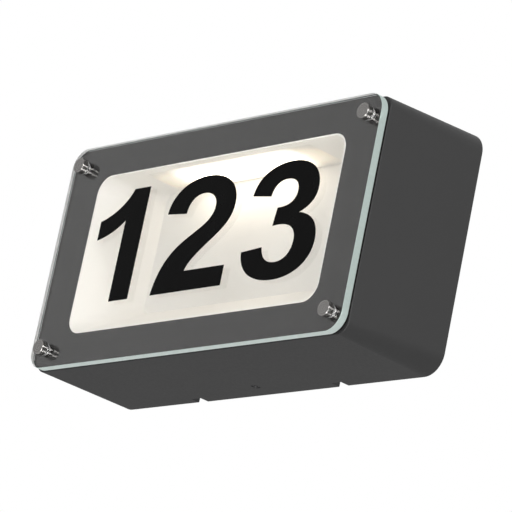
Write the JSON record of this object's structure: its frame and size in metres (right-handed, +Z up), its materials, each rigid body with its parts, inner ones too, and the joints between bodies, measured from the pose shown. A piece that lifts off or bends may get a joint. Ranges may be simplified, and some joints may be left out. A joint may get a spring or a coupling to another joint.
{
  "type": "illuminated house number sign",
  "caption": "Wall light that shows a house number: lit white recess behind a glass front with plain digits, in a tapered grey housing on a wall bracket.",
  "frame": {"origin": "centre of the wall screw pattern, on the wall plane, level with the middle of the glass", "axes": "+Z up, +Y into the wall, so the glass front looks along -Y, +X to the right of a viewer facing the sign"},
  "size_m": [0.2674, 0.0791, 0.1406],
  "materials": {
    "cast_grey": "die cast, matt grey powder coat",
    "clear_glass": "polished",
    "grey_gasket": "matt",
    "black_film": "satin",
    "turned_steel": "turned",
    "zinc_steel": "zinc plated",
    "nylon": "natural",
    "white_tray": "satin",
    "black_seal": "matt",
    "opal": "diffusing",
    "light_board": "white solder mask",
    "chip_face": "phosphor",
    "heat_spreader": "mill finish",
    "driver_black": "moulded",
    "circuit_green": "solder mask",
    "terminal_white": "moulded",
    "contact_brass": "plain",
    "lead_brown": "extruded",
    "lead_blue": "extruded",
    "lead_green": "extruded, yellow stripe",
    "lead_red": "extruded",
    "lead_black": "extruded"
  },
  "bodies": {
    "bracket": {"wall_bracket": "zinc_steel", "cable_grommet": "black_seal", "supply_socket": "terminal_white", "socket_contacts": "contact_brass", "terminal_screws": "zinc_steel", "socket_screws": "zinc_steel", "bracket_earth_screw": "zinc_steel"},
    "housing": {"housing": "cast_grey", "glass_panel": "clear_glass", "glass_gasket": "grey_gasket", "digit_1": "black_film", "digit_2": "black_film", "digit_3": "black_film", "glass_studs": "zinc_steel", "glass_sleeves": "nylon", "cap_washers": "nylon", "screw_caps": "turned_steel", "reflector_tray": "white_tray", "tray_seal": "black_seal", "tray_screws": "zinc_steel", "lamp_diffuser": "opal", "led_board": "light_board", "led_chips": "chip_face", "lamp_heat_plate": "heat_spreader", "lamp_screws": "zinc_steel", "driver_case": "driver_black", "driver_board": "circuit_green", "driver_lid": "driver_black", "rear_screws": "zinc_steel", "supply_plug": "terminal_white", "plug_pins": "contact_brass", "lead_live": "lead_brown", "lead_neutral": "lead_blue", "lead_earth": "lead_green", "led_lead_plus": "lead_red", "led_lead_minus": "lead_black", "lead_clip": "nylon", "earth_tag": "contact_brass", "housing_earth_screw": "zinc_steel"},
    "lock": {"lock_screw": "zinc_steel"}
  },
  "joints": [
    {"name": "housing_pull", "type": "slide", "parent": "bracket", "child": "housing", "axis": [0, -1, 0], "range_m": [0, 0.08]},
    {"name": "lock_screw_out", "type": "slide", "parent": "housing", "child": "lock", "axis": [0, 0, -1], "range_m": [0, 0.008]}
  ]
}
